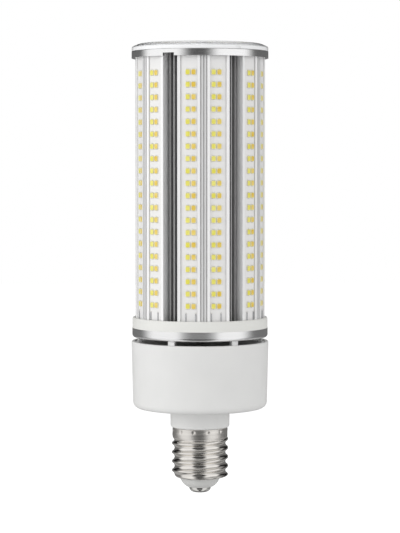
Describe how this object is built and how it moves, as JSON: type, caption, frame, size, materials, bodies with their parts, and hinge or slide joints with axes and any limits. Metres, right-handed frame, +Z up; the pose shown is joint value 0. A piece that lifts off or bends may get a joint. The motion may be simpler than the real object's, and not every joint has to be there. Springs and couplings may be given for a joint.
{
  "type": "corn led bulb",
  "caption": "Corn LED lamp: finned aluminium column lined with LED boards, clear top dome, white driver housing with an air slot, and a mogul screw cap.",
  "frame": {"origin": "tip of the centre contact, on the lamp's axis", "axes": "+Z up the lamp from the screw cap to the clear dome; the middle of one LED side faces -Y"},
  "size_m": [0.0954, 0.0954, 0.3123],
  "materials": {
    "cap_metal": "nickel-plated brass, bright",
    "contact_metal": "nickel-plated, bright",
    "insulator_grey": "pale grey, smooth",
    "housing_white": "white moulded plastic, satin",
    "collar_white": "white moulded plastic, satin",
    "band_metal": "spun aluminium, fine circular brushing",
    "ring_metal": "spun aluminium, fine circular brushing",
    "sink_metal": "clear-anodised extrusion, drawn lines along its length",
    "plate_metal": "rolled sheet",
    "board_white": "aluminium board with white solder mask",
    "led_phosphor": "yellow phosphor in a white package, unlit",
    "lens_clear": "clear moulded plastic, polished",
    "lead_wire": "insulated wire",
    "black_rubber": "soft black rubber",
    "screw_metal": "zinc-plated steel",
    "circuit_board": "green glass-fibre board",
    "ferrite": "dark grey ferrite",
    "winding_tape": "yellow tape over copper",
    "capacitor_sleeve": "dark shrink sleeve",
    "copper_wire": "enamelled copper",
    "film_case": "red resin case",
    "chip_case": "black moulded package",
    "fuse_body": "ceramic tube"
  },
  "bodies": {
    "root": {"base_collar": "collar_white", "base_plate": "plate_metal", "board_leads": "lead_wire", "bulk_capacitors": "capacitor_sleeve", "cap_insulator": "insulator_grey", "center_contact": "contact_metal", "driver_board": "circuit_board", "driver_housing": "housing_white", "driver_screws": "screw_metal", "film_capacitor": "film_case", "heat_sink": "sink_metal", "heat_spreader": "plate_metal", "housing_lid": "housing_white", "input_fuse": "fuse_body", "lead_grommet": "black_rubber", "led_board_01": "board_white", "led_board_02": "board_white", "led_board_03": "board_white", "led_board_04": "board_white", "led_board_05": "board_white", "led_board_06": "board_white", "led_board_07": "board_white", "led_board_08": "board_white", "led_board_09": "board_white", "led_board_10": "board_white", "led_board_11": "board_white", "led_board_12": "board_white", "led_chips_01": "led_phosphor", "led_chips_02": "led_phosphor", "led_chips_03": "led_phosphor", "led_chips_04": "led_phosphor", "led_chips_05": "led_phosphor", "led_chips_06": "led_phosphor", "led_chips_07": "led_phosphor", "led_chips_08": "led_phosphor", "led_chips_09": "led_phosphor", "led_chips_10": "led_phosphor", "led_chips_11": "led_phosphor", "led_chips_12": "led_phosphor", "line_choke": "copper_wire", "live_lead": "lead_wire", "lower_band": "band_metal", "neutral_lead": "lead_wire", "output_leads": "lead_wire", "plate_screws": "screw_metal", "power_switch": "chip_case", "rectifier": "chip_case", "screw_shell": "cap_metal", "sink_screws": "screw_metal", "top_board": "board_white", "top_chips": "led_phosphor", "top_lens": "lens_clear", "top_plate": "plate_metal", "top_ring": "ring_metal", "transformer_core": "ferrite", "transformer_winding": "winding_tape"}
  },
  "joints": []
}
